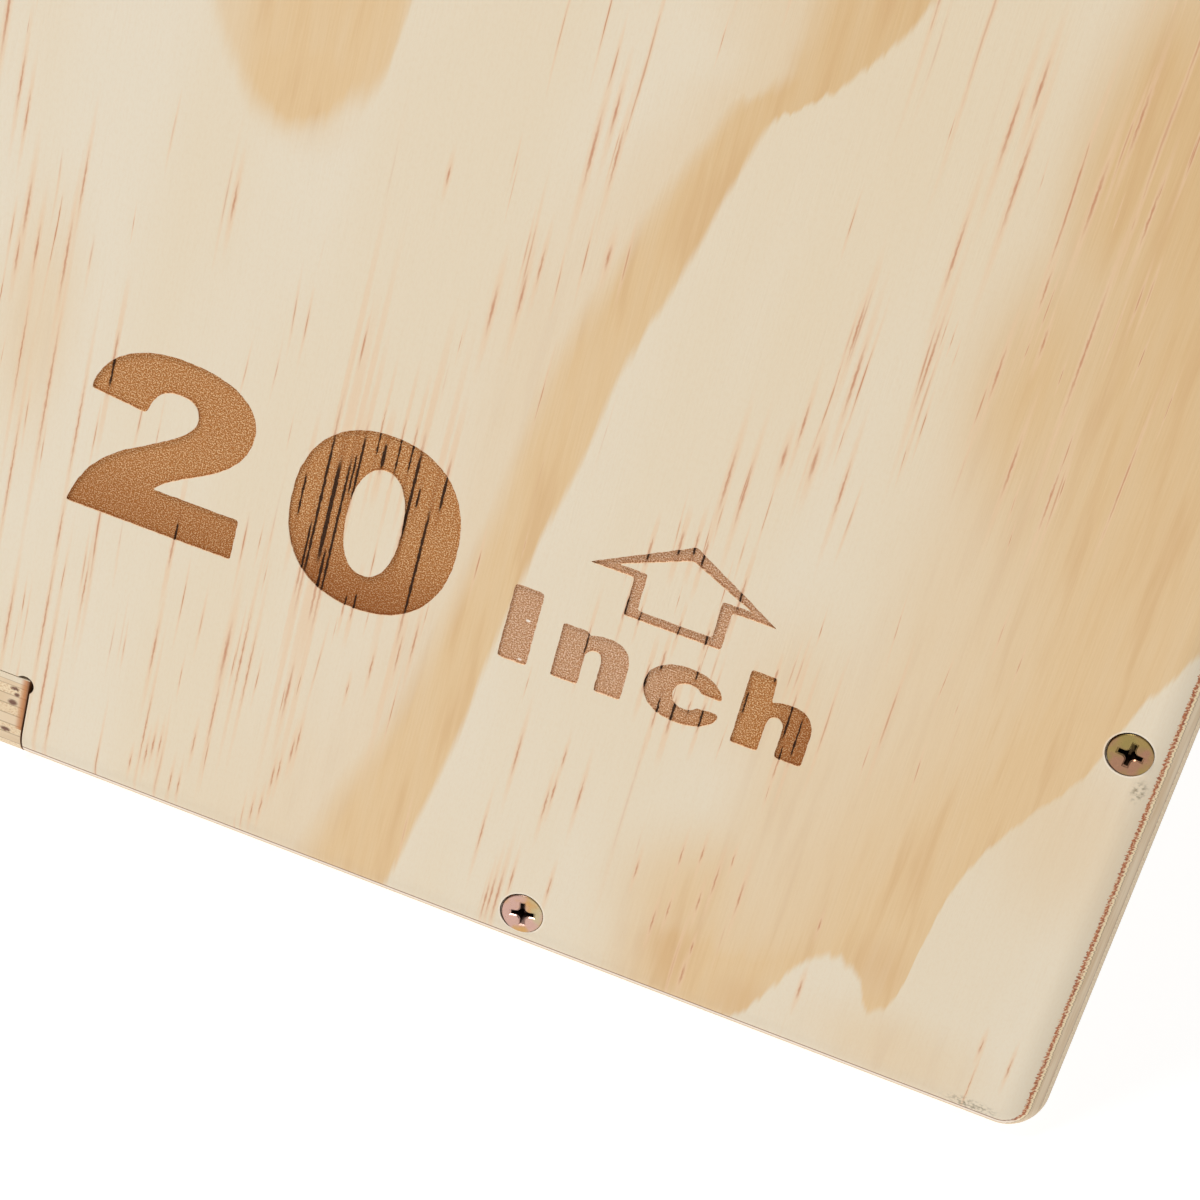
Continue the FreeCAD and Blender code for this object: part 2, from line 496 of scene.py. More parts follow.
ZERO_MIDDLE = (-146.0, 76.4)
ZERO_OUTER = (15.75, 17.7)
ZERO_INNER = (5.2, 10.75)
ZERO_SQUARENESS = 2.25
BASELINE = 59.9
X_HEIGHT = 71.0
CAP_HEIGHT = 75.1
STEM = 5.0
ARROW_MIDDLE = -90.0
ARROW_OUTER = [(0, 93.9), (17.3, 84.2), (9.0, 84.2), (9.0, 76.5)]
ARROW_INNER = [(0, 91.1), (12.2, 85.7), (6.9, 85.7), (6.9, 78.3)]
LETTER_I = [(-118.8, BASELINE), (-113.3, BASELINE), (-113.3, CAP_HEIGHT), (-118.8, CAP_HEIGHT)]
LETTER_N = -108.7
LETTER_H = -74.8


def outline(strokes):
    """A closed outline. A stroke is an end point, or two control points and an end point."""
    points = []
    for stroke in strokes:
        if len(stroke) == 2:
            points.append(Vector(stroke))
            continue
        start = points[-1]
        first, second, end = (Vector(point) for point in stroke)
        for step in range(1, CURVE_STEPS + 1):
            t = step / CURVE_STEPS
            s = 1 - t
            points.append(s ** 3 * start + 3 * s * s * t * first + 3 * s * t * t * second + t ** 3 * end)
    return points


def full_round(middle, radii):
    """A squarish ellipse."""
    points = []
    for step in range(ROUND_STEPS):
        angle = 2 * math.pi * step / ROUND_STEPS
        offset = []
        for share, radius in zip((math.cos(angle), math.sin(angle)), radii):
            offset.append(math.copysign(abs(share) ** (2 / ZERO_SQUARENESS), share) * radius)
        points.append(Vector(middle) + Vector(offset))
    return points


def arched_letter(left, stem_top):
    """The letters n and h: a stem with an arch beside it."""
    return outline([
        (left, BASELINE),
        (left, stem_top),
        (left + STEM - 0.2, stem_top),
        (left + STEM, X_HEIGHT - 0.8),
        ((left + 6.0, X_HEIGHT - 0.3), (left + 7.2, X_HEIGHT), (left + 8.6, X_HEIGHT)),
        ((left + 11.7, X_HEIGHT), (left + 13.2, X_HEIGHT - 1.7), (left + 13.2, X_HEIGHT - 4.8)),
        (left + 13.2, BASELINE),
        (left + 8.2, BASELINE),
        (left + 8.2, X_HEIGHT - 5.4),
        ((left + 8.2, X_HEIGHT - 4.1), (left + 7.7, X_HEIGHT - 3.4), (left + 6.7, X_HEIGHT - 3.4)),
        ((left + 5.6, X_HEIGHT - 3.4), (left + 5.1, X_HEIGHT - 4.3), (left + 5.1, X_HEIGHT - 5.6)),
        (left + 5.1, BASELINE),
    ])


def mirrored(half):
    """An outline from its right half, top to bottom, about the arrow's middle line."""
    right = [Vector((ARROW_MIDDLE + offset, height)) for offset, height in half]
    left = [Vector((ARROW_MIDDLE - offset, height)) for offset, height in reversed(half) if offset]
    return right + left


def worn(points):
    """An outline with its corners rounded a little and its edge uneven, as burning leaves it."""
    dense = []
    for i, point in enumerate(points):
        count = max(1, round((point - points[i - 1]).length / WEAR_STEP))
        dense += [points[i - 1].lerp(point, step / count) for step in range(1, count + 1)]
    for _ in range(WEAR_ROUNDS):
        ahead = dense[1:] + dense[:1]
        dense = [(dense[i - 1] + 2 * point + ahead[i]) / 4 for i, point in enumerate(dense)]
    return [point + noise.noise_vector(point.to_3d() / WEAR_LENGTH).xy * WEAR for point in dense]


def mark_outlines():
    return [
        [outline(DIGIT_TWO)],
        [full_round(ZERO_MIDDLE, ZERO_OUTER), full_round(ZERO_MIDDLE, ZERO_INNER)],
        [outline(LETTER_I)],
        [arched_letter(LETTER_N, X_HEIGHT)],
        [outline(LETTER_C)],
        [arched_letter(LETTER_H, CAP_HEIGHT)],
        [mirrored(ARROW_OUTER), mirrored(ARROW_INNER)],
    ]


def mark_tool(material):
    """The shape that the burner took out of the front panel."""
    right, front = cad_box[1][X], cad_box[0][Y]
    noise.seed_set(WEAR_SEED)
    made = bmesh.new()
    for loops in mark_outlines():
        edges = []
        for loop in loops:
            ring = [made.verts.new((right + x * MM, front + MARK_DEPTH * MM, z * MM)) for x, z in worn(loop)]
            edges += [made.edges.new((ring[i - 1], ring[i])) for i in range(len(ring))]
        bmesh.ops.triangle_fill(made, edges=edges, use_beauty=True)
    thicken(made, axis_vector(Y, -(MARK_DEPTH + OVERRUN) * MM))
    return new_piece("mark_tool", made, material)


# Node helpers for materials

def srgb(red, green, blue):
    """A colour as a screen shows it, from 0 to 255, made linear."""
    def linear(value):
        share = value / 255
        return share / 12.92 if share <= 0.04045 else ((share + 0.055) / 1.055) ** 2.4
    return (linear(red), linear(green), linear(blue), 1.0)


class Field:
    """A value that varies over a surface. Arithmetic on it adds the nodes that work it out."""

    def __init__(self, paint, socket):
        self.paint = paint
        self.socket = socket

    def math(self, operation, *others):
        node = self.paint.node("ShaderNodeMath", operation=operation)
        for socket, value in zip(node.inputs, (self, *others)):
            self.paint.feed(socket, value)
        return Field(self.paint, node.outputs[0])

    __add__ = __radd__ = partialmethod(math, "ADD")
    __mul__ = __rmul__ = partialmethod(math, "MULTIPLY")
    __sub__ = partialmethod(math, "SUBTRACT")
    __truediv__ = partialmethod(math, "DIVIDE")
    size = partialmethod(math, "ABSOLUTE")
    whole = partialmethod(math, "FLOOR")
    rest = partialmethod(math, "FRACT")
    most = partialmethod(math, "MAXIMUM")
    least = partialmethod(math, "MINIMUM")

    def __rsub__(self, other):
        return self.math("MULTIPLY_ADD", -1.0, other)

    def span(self, low, high, first=0.0, last=1.0, kind="LINEAR"):
        """Runs from first to last as this value runs from low to high, and stays there outside."""
        node = self.paint.node("ShaderNodeMapRange", interpolation_type=kind, clamp=True)
        for socket, value in zip(node.inputs, (self, low, high, first, last)):
            self.paint.feed(socket, value)
        return Field(self.paint, node.outputs[0])

    def rise(self, low, high):
        return self.span(low, high, kind="SMOOTHSTEP")

    def fall(self, low, high):
        return self.span(low, high, 1.0, 0.0, kind="SMOOTHSTEP")

    def along_curve(self, points):
        """The height of a smooth line drawn through points, at this value."""
        first, last = points[0][0], points[-1][0]
        lowest = min(height for _, height in points)
        highest = max(height for _, height in points)
        node = self.paint.node("ShaderNodeFloatCurve")
        curve = node.mapping.curves[0]
        while len(curve.points) < len(points):
            curve.points.new(0.5, 0.5)
        for knot, (place, height) in zip(curve.points, points):
            knot.location = ((place - first) / (last - first), (height - lowest) / (highest - lowest))
        node.mapping.update()
        self.paint.feed(node.inputs["Value"], self.span(first, last))
        return Field(self.paint, node.outputs[0]) * (highest - lowest) + lowest


# Colour sockets of the Mix node
MIX_SHARE, MIX_FIRST, MIX_SECOND, MIX_RESULT = 0, 6, 7, 2


class Paint:
    """One material's nodes."""

    def __init__(self, name):
        self.material = bpy.data.materials.new(name)
        self.material.use_nodes = True
        self.tree = self.material.node_tree
        self.shader = self.tree.nodes["Principled BSDF"]

    def node(self, kind, **settings):
        made = self.tree.nodes.new(kind)
        for name, value in settings.items():
            setattr(made, name, value)
        return made

    def feed(self, socket, value):
        if isinstance(value, Field):
            self.tree.links.new(value.socket, socket)
        else:
            socket.default_value = value

    def parts(self, socket):
        node = self.node("ShaderNodeSeparateXYZ")
        self.tree.links.new(socket, node.inputs[0])
        return [Field(self, output) for output in node.outputs]

    def vector(self, *values):
        node = self.node("ShaderNodeCombineXYZ")
        for socket, value in zip(node.inputs, values):
            self.feed(socket, value)
        return Field(self, node.outputs[0])

    def noise(self, *values, detail=2.0):
        node = self.node("ShaderNodeTexNoise")
        self.feed(node.inputs["Vector"], self.vector(*values))
        self.feed(node.inputs["Scale"], 1.0)
        self.feed(node.inputs["Detail"], detail)
        return Field(self, node.outputs["Fac"])

    def cells(self, *values):
        """Distance to the nearest of many scattered points, and a number that is each point's own."""
        node = self.node("ShaderNodeTexVoronoi", voronoi_dimensions="2D")
        self.feed(node.inputs["Vector"], self.vector(*values))
        self.feed(node.inputs["Scale"], 1.0)
        return Field(self, node.outputs["Distance"]), self.parts(node.outputs["Color"])

    def reach(self, place, middle, half_sizes, squarish=False):
        """How far a place is from an oval's middle: 1 on its edge. Squared parts make it squarish."""
        scaled = self.node("ShaderNodeVectorMath", operation="MULTIPLY_ADD")
        self.feed(scaled.inputs[0], place)
        scaled.inputs[1].default_value = [1 / half for half in half_sizes] + [0]
        scaled.inputs[2].default_value = [-at / half for at, half in zip(middle, half_sizes)] + [0]
        if squarish:
            squared = self.node("ShaderNodeVectorMath", operation="MULTIPLY")
            for socket in squared.inputs[:2]:
                self.tree.links.new(scaled.outputs["Vector"], socket)
            scaled = squared
        length = self.node("ShaderNodeVectorMath", operation="LENGTH")
        self.tree.links.new(scaled.outputs["Vector"], length.inputs[0])
        return Field(self, length.outputs["Value"])

    def chance(self, value):
        node = self.node("ShaderNodeTexWhiteNoise", noise_dimensions="1D")
        self.feed(node.inputs["W"], value)
        return Field(self, node.outputs["Value"])

    def mix(self, share, first, second):
        node = self.node("ShaderNodeMix", data_type="RGBA", clamp_factor=True)
        self.feed(node.inputs[MIX_SHARE], share)
        self.feed(node.inputs[MIX_FIRST], first)
        self.feed(node.inputs[MIX_SECOND], second)
        return Field(self, node.outputs[MIX_RESULT])

    def bump(self, height, distance):
        node = self.node("ShaderNodeBump")
        self.feed(node.inputs["Height"], height)
        self.feed(node.inputs["Distance"], distance * MM)
        return Field(self, node.outputs["Normal"])

    def finish(self, **inputs):
        for name, value in inputs.items():
            self.feed(self.shader.inputs[name.replace("_", " ").title()], value)
        return self.material


PANEL_SEED = 37.0


class Timber(Paint):
    """Paint with places on one panel, in millimetres: across its face grain, along it, and below its face."""

    def __init__(self, name, node):
        super().__init__(name)
        normal, side, grain = PANELS[node]
        across = ({X, Y, Z} - {normal, grain}).pop()
        source = self.node("ShaderNodeTexCoord")
        place = [part / MM for part in self.parts(source.outputs["Object"])]
        facing = [part.size() for part in self.parts(source.outputs["Normal"])]
        self.across, self.along = place[across], place[grain]
        self.depth = (place[normal] * -side) + side * outer_level(node) / MM
        self.facing_across, self.facing_along = facing[across], facing[grain]
        self.facing_out = facing[normal]
        self.seed = PANEL_SEED * (1 + list(PANELS).index(node))

    def grain(self, width, length, shift=0.0, detail=2.0):
        """The panel's own noise, in patches of a width across the grain and a length along it."""
        return self.noise(self.across / width, self.along / length, self.seed + shift, detail=detail)


# Wood

CREAM = srgb(230, 217, 194)
CREAM_WARM = srgb(228, 210, 180)
TAN = srgb(228, 197, 152)
TAN_SHADE = srgb(217, 181, 130)
TAN_DEEP = srgb(208, 164, 112)
RESIN = srgb(190, 118, 80)
RESIN_HALO = srgb(231, 197, 160)
GLUE = srgb(186, 104, 54)
SEAM = srgb(138, 102, 70)
TORN_LIGHT = srgb(250, 228, 186)
# Light long grain of the under veneer, painted lighter still as painted light for the floor's bounce
UNDER_VENEER_AND_BOUNCE = srgb(240, 224, 208)
UNDER_LINE = srgb(134, 90, 60)
CORE_LIGHT = srgb(232, 211, 180)
CORE_TAN = srgb(216, 186, 146)
END_LIGHT = srgb(240, 219, 184)
END_DARK = srgb(208, 170, 128)
STAIN = srgb(92, 36, 16)
SCORCH = srgb(186, 108, 36)
CHAR = srgb(30, 15, 9)
# Painted shade for the walls of slots and holes and the gaps beside the fingers
CUT_WALL_SHADE = srgb(92, 58, 34)
DIRT = srgb(112, 96, 62)
# Painted highlight for the rims round the seen screws' pockets
POCKET_RIM_HIGHLIGHT = srgb(252, 240, 222)

# How strongly these show over the plain wood, from 0 to 1
WARM_SHARE = 0.42
PATCH_SHARE = 0.35
SMOKE_SHARE = 0.4
HALO_SHARE = 0.6
CORE_SHARE = 0.85
FIBRE_SHARE = 0.06
GRIT_SHARE = 0.07
DIRT_SHARE = 0.8
POCKET_RIM_HIGHLIGHT_SHARE = 0.45
CUT_WALL_SHADE_SHARE = 0.85

# Growth rings seen on the front panel, drawn in millimetres. A ring's edge is sharp on one side.
RING_EDGE = [
    (0, -128.6), (20, -125), (40, -121.7), (60, -119.6), (80, -117), (100, -113.3), (120, -110.4),
    (140, -105.2), (160, -100.7), (170, -98), (175, -93), (182, -87), (200, -78), (260, -66),
]
RING_WIDTH = [
    (0, 20), (20, 18), (40, 14), (60, 12), (80, 11), (100, 12.5), (140, 12), (160, 9.5), (170, 8),
    (182, 12), (200, 20), (260, 26),
]
TONGUE_EDGE = [
    (-202, 190), (-194, 160), (-188, 150), (-184, 145), (-178, 142.4), (-171, 145), (-167, 149),
    (-163, 152), (-161, 160), (-158, 190),
]
CORNER_EDGE = [
    (-72, -12), (-60, 3), (-54, 13), (-51, 20), (-45, 25), (-40, 22.5), (-36, 16.8), (-33, 19.5),
    (-31.5, 28), (-30, 44), (-25, 60), (-19.5, 70), (-15, 79), (-10, 95), (0, 115),
]
CORNER_FADE = [
    (0, -84), (20, -81), (40, -74), (60, -63), (80, -57), (110, -55), (150, -52), (200, -48), (260, -44),
]
CORNER_DARK = [
    (0, -82), (12, -78), (20, -62), (30, -52), (45, -48), (60, -42), (80, -34), (100, -32), (120, -36),
    (150, -40), (260, -42),
]

# How thick resin streaks stand across the front panel's seen corner, low down, at the mark and above it
STREAKS_LOW = [
    (-230, 0.9), (-204, 0.7), (-200, 0.3), (-196, 0.6), (-180, 0.5), (-172, 0.9), (-152, 0.9), (-140, 0.7),
    (-128, 0.3), (-118, 0.1), (-112, 0.15), (-96, 0.12), (-80, 0.2), (-62, 0.3), (-48, 0.1), (-24, 0.03),
    (0, 0.05),
]
STREAKS_MIDDLE = [
    (-230, 1.0), (-204, 0.9), (-198, 0.3), (-180, 0.12), (-160, 0.1), (-150, 0.5), (-132, 0.6), (-124, 0.2),
    (-112, 0.1), (-96, 0.4), (-88, 0.9), (-78, 0.8), (-60, 0.6), (-44, 0.7), (-34, 0.3), (-24, 0.0),
    (0, 0.0),
]
STREAKS_HIGH = [
    (-230, 0.7), (-206, 0.2), (-190, 0.1), (-140, 0.1), (-130, 0.8), (-118, 0.8), (-108, 0.3), (-92, 0.1),
    (-80, 0.5), (-66, 0.9), (-56, 0.9), (-40, 1.0), (-30, 0.4), (0, 0.2),
]

# Resin lines that burnt black in the mark: place, lower end, upper end, and half width in hundredths
BURNT_LINES = [
    (-198.5, 84, 93, 22), (-181.2, 55, 62.6, 22), (-160, 72.6, 81, 20), (-157.2, 60, 72.4, 20),
    (-156.5, 61, 91, 24), (-154.5, 65, 86, 40), (-153.6, 56, 68, 26), (-152.7, 58, 87, 24),
    (-151.9, 80, 88, 18), (-151.1, 79, 92, 22), (-148.6, 89, 97, 14), (-147.9, 57, 60.5, 14),
    (-147.2, 87, 92, 30), (-146.2, 57, 61.5, 20), (-144.7, 87, 96, 16), (-142.4, 88, 96, 16),
    (-140.8, 75, 93, 28), (-139.5, 82, 86, 18), (-136.9, 60, 82.5, 26), (-135.3, 83, 92, 25),
    (-103.9, 66, 71.5, 15), (-99, 76, 80, 14), (-97.8, 88, 92, 18), (-96.2, 76, 79, 12), (-93, 91, 95, 24),
    (-92.1, 64, 68.5, 20), (-90.4, 92, 96, 20), (-90.1, 68.5, 72, 20), (-89, 76, 79, 14),
    (-88.7, 58, 63, 18), (-88.5, 90.5, 95, 20), (-85.9, 58, 63.5, 25), (-83.9, 76, 79, 20),
    (-83.7, 69, 72, 14), (-83.3, 62, 64.5, 15), (-80.8, 60, 64.5, 18), (-80.4, 85, 90.5, 20),
    (-74.2, 66, 70.5, 18), (-70.5, 74, 76.5, 15), (-66.1, 64, 72, 18), (-65.6, 57, 62.5, 16),
    (-63.8, 61, 69, 15),
]

# The clearest resin streaks elsewhere, the same way
CLEAR_STREAKS = [
    (-209.4, 21, 40, 30), (-202.5, 20, 48, 28), (-200.4, 4, 37, 28), (-198, 5, 23, 22),
    (-196.1, 36, 50, 22), (-180.8, 28, 43, 28), (-179.4, 7, 29, 20), (-167.4, 32, 49, 50),
    (-167.2, 18, 36, 30), (-164.3, 28, 54, 24), (-162.5, 28, 49, 24), (-154.4, 30, 45, 36),
    (-215.7, 72, 97, 24), (-209.5, 61, 97, 30), (-202.9, 62, 87, 26), (-202.7, 46, 59, 26),
    (-213.8, 46, 75, 26), (-228, 135, 155, 40), (-223.7, 127, 141, 28), (-221.7, 123, 134, 26),
    (-218.9, 105, 119, 38), (-219.3, 98, 107, 34), (-216, 99, 111, 30), (-210.4, 95, 115, 32),
    (-209.6, 113, 128, 26), (-182.6, 121, 131, 34), (-147.5, 141, 146, 30), (-125.1, 147, 165, 40),
    (-123, 158, 169, 34), (-121, 149, 163, 28), (-118, 136, 142, 44), (-130.5, 121, 133, 38),
    (-134.8, 117, 129, 40), (-128.6, 129, 138, 28), (-73.2, 124, 142, 34), (-75.3, 134, 149, 28),
    (-88.4, 100, 116, 40), (-85.1, 98, 115, 34), (-80.5, 112, 119, 44), (-79, 117, 128, 28),
    (-62.5, 129, 151, 30), (-69.6, 106, 121, 30), (-75.4, 112, 121, 50), (-62, 173, 191, 38),
    (-59.6, 183, 196, 40), (-58.3, 162, 186, 38), (-64, 151, 168, 34), (-46, 167, 184, 40),
    (-37.1, 169, 182.5, 28), (-39.5, 135, 167, 30), (-36.8, 116.5, 133, 26), (-43.5, 182, 197, 30),
    (-48.7, 154, 163, 26), (-46.2, 146.5, 153.5, 28), (-51.5, 136, 149, 30), (-44.4, 120, 135, 30),
    (-14.5, 3, 14.5, 16), (-15, 16, 20.5, 30), (-9, 13, 19, 24), (-109, 4, 15, 26), (-108.2, 5, 17, 30),
    (-107, 4, 19, 34), (-105.3, 12, 20, 24), (-98.2, 14, 20.5, 28), (-76.8, 31, 37, 22),
    (-83.8, 25, 30.5, 26), (-73.3, 33, 38.5, 24), (-69.6, 27, 36, 28), (-71.3, 23, 29, 24),
    (-67.7, 35, 38.8, 22), (-64.5, 25, 35, 30), (-78.2, 15, 21.8, 28), (-76.1, 19, 25, 24),
    (-70.1, 6.5, 13, 36), (-69.9, 14, 18, 24), (-49.4, 28.5, 32.5, 24), (-49, 13, 18.8, 34),
    (-181, 8, 12.5, 22), (-178.3, 10, 16.5, 24), (-177.3, 12.5, 19, 24), (-176, 13, 19.5, 22),
    (-172.6, 6, 12.5, 22), (-170.9, 6, 12, 20), (-169.7, 16, 22.5, 24), (-153.6, 15, 22, 26),
    (-152.7, 17, 24, 24), (-151.1, 22, 29, 28), (-150.4, 24, 32.5, 26), (-154.6, 8.5, 14, 24),
    (-156.1, 7, 12.5, 22), (-143.7, 40, 44.5, 22), (-140.4, 45, 52, 24), (-136.1, 48, 58, 26),
    (-133.8, 51, 62, 26), (-113, 17.5, 28.5, 24), (-110.5, 36, 48, 30), (-103.1, 29.5, 38.5, 28),
    (-102.3, 33.5, 41, 24), (-102.1, 42, 47.5, 22), (-97.5, 33.5, 43.5, 28),
]
FACE_STRETCH = 1.5

# Light chips on the mark's floor: middle and half size
CHIPS = [((-115.0, 68.5), 0.5), ((-114.7, 60.5), 0.45)]

# Short resin streaks, longer ones and long lines: width and length of the room for one, and its least
# half width as a share of that width
STREAK_KINDS = [(1.3, 30.0, 0.05), (1.7, 62.0, 0.045), (2.6, 150.0, 0.036)]

# Share of these rooms that hold a streak where they stand thickest, and how much of it the seen corner has
STREAK_SHARE = 0.42
SEEN_SHARE = 0.65

# Growth rings elsewhere: how far apart they are, how many rings they bend by, and how slowly they lean
RING_SPACING = 95
RING_BEND = 3.4
RING_LEAN = 2600

# Deeper tan places low on the front panel: middle across and up, and half sizes
TAN_PATCHES = [((-73.4, 12.7), (6, 13)), ((-58, 9), (10, 7)), ((-37, 26), (8, 10))]

# Places on the front panel that are a little tan without an edge, the same way
WARM_PATCHES = [
    ((-214, 92), (11, 34)), ((-69, 70), (14, 27)), ((-76, 26), (17, 19)), ((-49, 142), (12, 28)),
    ((-45, 187), (11, 30)), ((-174, 147), (12, 10)), ((-14, 66), (17, 26)), ((-30, 10), (24, 12)),
]

# Dirty places near the front panel's edges, the same way
SMUDGES = [((-5.9, 78.4), (1.9, 3.0)), ((-13.0, 5.0), (7.0, 2.2))]

# Stains on the end of the bottom panel's seen finger, the same way
FINGER_STAINS = [
    ((-205.8, 16.4), (1.1, 0.5)), ((-205.2, 15.2), (0.7, 0.5)), ((-205.8, 13.3), (1.2, 0.8)),
    ((-206.4, 7.0), (1.3, 0.6)),
]


# More than any distance that matters, in millimetres
FAR = 100


def from_right(wood):
    """Millimetres from the right-hand edge of the box, as the front panel's figure is drawn."""
    return wood.across - cad_box[1][X] / MM


def front_place(wood):
    """A place on the front panel: from its right-hand edge, and up from its lower edge."""
    return wood.vector(from_right(wood), wood.along)


def resin_streaks(wood, crowd):
    """Scattered resin streaks along the grain: their dark cores and their halos."""
    sway = (wood.grain(10, 45, detail=1.0) - 0.5) * 2.2
    fray = (wood.grain(0.25, 2.5, detail=1.0) - 0.5) * 0.08
    cores, halos = [], []
    for width, length, least in STREAK_KINDS:
        near, (pick, reach, strength) = wood.cells(
            (wood.across + sway) / width + wood.seed, wood.along / length + width)
        there = (crowd * STREAK_SHARE - pick).rise(-0.03, 0.03)
        spread = (near + fray) / (reach * least * 2 + least)
        cores.append(spread.fall(0.2, 1.0) * there * (strength * 0.7 + 0.3))
        halos.append(spread.fall(0.6, 2.6) * there)
    return reduce(Field.most, cores), reduce(Field.most, halos)


def resin_lines(wood, rows, stretch, squarish):
    """How far a place on the front panel is from the nearest of some drawn resin lines: 1 on its edge."""
    ragged = from_right(wood) + (wood.grain(0.3, 1.4) - 0.5) * 0.45
    place = wood.vector(ragged, wood.along)
    spreads = []
    for across, low, high, half_width in rows:
        half_sizes = (half_width / 100, stretch * (high - low) / 2)
        spreads.append(wood.reach(place, (across, (low + high) / 2), half_sizes, squarish))
    return reduce(Field.least, spreads)


def drawn_rings(wood, across, along):
    """The tan growth rings of the front panel's seen corner."""
    ring_width = along.along_curve(RING_WIDTH)
    into_ring = along.along_curve(RING_EDGE) - across
    sharp = into_ring.rise(-0.4, 1.0)
    ring = sharp * (into_ring / ring_width).fall(0.6, 1.25)
    ring = ring.most(sharp * (into_ring / ring_width).fall(0.8, 2.6) * 0.35)
    over_tongue = along - across.along_curve(TONGUE_EDGE)
    tongue = over_tongue.rise(-3.0, 5.0) * over_tongue.fall(20, 70)
    tongue = tongue * across.rise(-204, -180) * across.fall(-163, -156)
    over_corner = along - across.along_curve(CORNER_EDGE)
    right_of_fade = across - along.along_curve(CORNER_FADE)
    corner = over_corner.rise(-1.0, 1.6) * right_of_fade.rise(-9, 9)
    corner = corner * (across - along.along_curve(CORNER_DARK)).span(-12, 8, 0.5, 1.0)
    return ring.most(tongue).most(corner)


def growth_rings(wood, drawn):
    """How tan the face is, from 0 to 1."""
    ragged_across = wood.across + (wood.grain(1.1, 26) - 0.5) * 1.6
    ragged_along = wood.along + (wood.grain(1.4, 30, shift=5) - 0.5) * 4
    bend = wood.grain(190, 620, detail=1.0)
    phase = (ragged_across / RING_SPACING + bend * RING_BEND + ragged_along / RING_LEAN).rest()
    tan = phase.rise(0.0, 0.02) * phase.fall(0.1, 0.42)
    if drawn is not None:
        figure = drawn_rings(wood, ragged_across - cad_box[1][X] / MM, ragged_along)
        tan = tan * (1 - drawn) + figure * drawn
    return tan


def seen_crowding(wood):
    """How thick resin streaks stand on the front panel's seen corner."""
    across = from_right(wood)
    low = wood.along.fall(45, 75)
    high = wood.along.rise(105, 130)
    crowd = across.along_curve(STREAKS_LOW) * low + across.along_curve(STREAKS_HIGH) * high
    return crowd + across.along_curve(STREAKS_MIDDLE) * (1 - low - high)


def spots(wood, place, rows, full, edge):
    """How deep a place lies in the nearest of some oval spots, from 0 to 1."""
    depths = [wood.reach(place, middle, half_sizes).fall(full, edge) for middle, half_sizes in rows]
    return reduce(Field.most, depths)


def dirt(wood):
    """How dirty the front panel's seen edges are."""
    grime = wood.grain(0.8, 0.7, detail=3.0).rise(0.42, 0.66)
    return spots(wood, front_place(wood), SMUDGES, 0.1, 1.0) * grime


def pocket_rim_highlights(wood):
    """Painted highlight: light rings on the face round the two seen screws' pockets."""
    rows = []
    for group, number in SEEN_TURNS:
        head = screw_places(group)[number].translation / MM
        rows.append(((head.x + POCKET_SHIFT[0], head.z + POCKET_SHIFT[1]), (POCKET_RADIUS, POCKET_RADIUS)))
    return spots(wood, wood.vector(wood.across, wood.along), rows, 1.03, 1.1)


def face_colour(wood, fibre, is_front):
    """Colour of a face veneer."""
    tone = wood.grain(30, 190).rise(0.35, 0.65)
    crowd = wood.grain(24, 150, shift=3).span(0.38, 0.68, 0.05, 1.0)
    smoke = wood.grain(3.2, 34, shift=9)
    grit = wood.grain(0.4, 0.9, shift=4, detail=1.0)
    deep = fibre.span(0.3, 0.8, 0.2, 0.5)
    drawn = None
    if is_front:
        right = from_right(wood)
        drawn = right.rise(-300, -240) * wood.along.fall(235, 330)
        crowd = crowd * (1 - drawn) + seen_crowding(wood) * drawn * SEEN_SHARE
        up = wood.along.rise(80, 190) * right.rise(-170, -60)
        tone = tone * 0.6 + up * 0.7
        deep = deep + up * 0.6
    tan = growth_rings(wood, drawn)
    if is_front:
        place = front_place(wood)
        tan = tan + spots(wood, place, WARM_PATCHES, 0.1, 1.1) * WARM_SHARE
    colour = wood.mix(tone, CREAM, CREAM_WARM)
    shade = wood.mix(deep, TAN, TAN_SHADE)
    shade = wood.mix(smoke.rise(0.5, 0.72) * SMOKE_SHARE, shade, TAN_DEEP)
    if is_front:
        patches = spots(wood, place, TAN_PATCHES, 0.1, 1.0)
        shade = wood.mix(patches * PATCH_SHARE, shade, TAN_DEEP)
    colour = wood.mix(tan * smoke.span(0.3, 0.55, 0.88, 1.0), colour, shade)
    core, halo = resin_streaks(wood, crowd)
    if is_front:
        line = resin_lines(wood, BURNT_LINES, FACE_STRETCH, True)
        streak = resin_lines(wood, CLEAR_STREAKS, 1.0, False)
        core = core.most(line.fall(0.2, 1.2) * 0.7).most(streak.fall(0.0, 1.0) * 0.9)
        halo = halo.most(line.fall(1.0, 9.0)).most(streak.fall(0.6, 2.6))
    colour = wood.mix(halo * HALO_SHARE, colour, RESIN_HALO)
    colour = wood.mix(core * CORE_SHARE, colour, RESIN)
    texture = fibre.rise(0.45, 0.8) * FIBRE_SHARE + grit.rise(0.4, 0.7) * GRIT_SHARE
    colour = wood.mix(texture, colour, TAN_SHADE)
    if is_front:
        colour = wood.mix(dirt(wood) * DIRT_SHARE, colour, DIRT)
        # Painted highlight round the two seen screws' pockets
        colour = wood.mix(pocket_rim_highlights(wood) * POCKET_RIM_HIGHLIGHT_SHARE, colour, POCKET_RIM_HIGHLIGHT)
    return colour


def from_finger_sides(wood, node):
    """Millimetres from the sides of a panel's fingers, on the faces that the cutter made."""
    normal, _, grain = PANELS[node]
    across = ({X, Y, Z} - {normal, grain}).pop()
    distances = []
    for place, axis in ((wood.across, across), (wood.along, grain)):
        low, high = cad_box[0][axis] / MM, cad_box[1][axis] / MM
        distances.append(((place - (low + high) / 2).size() - (high - low) / 6).size())
    return reduce(Field.least, distances) + wood.facing_out * FAR


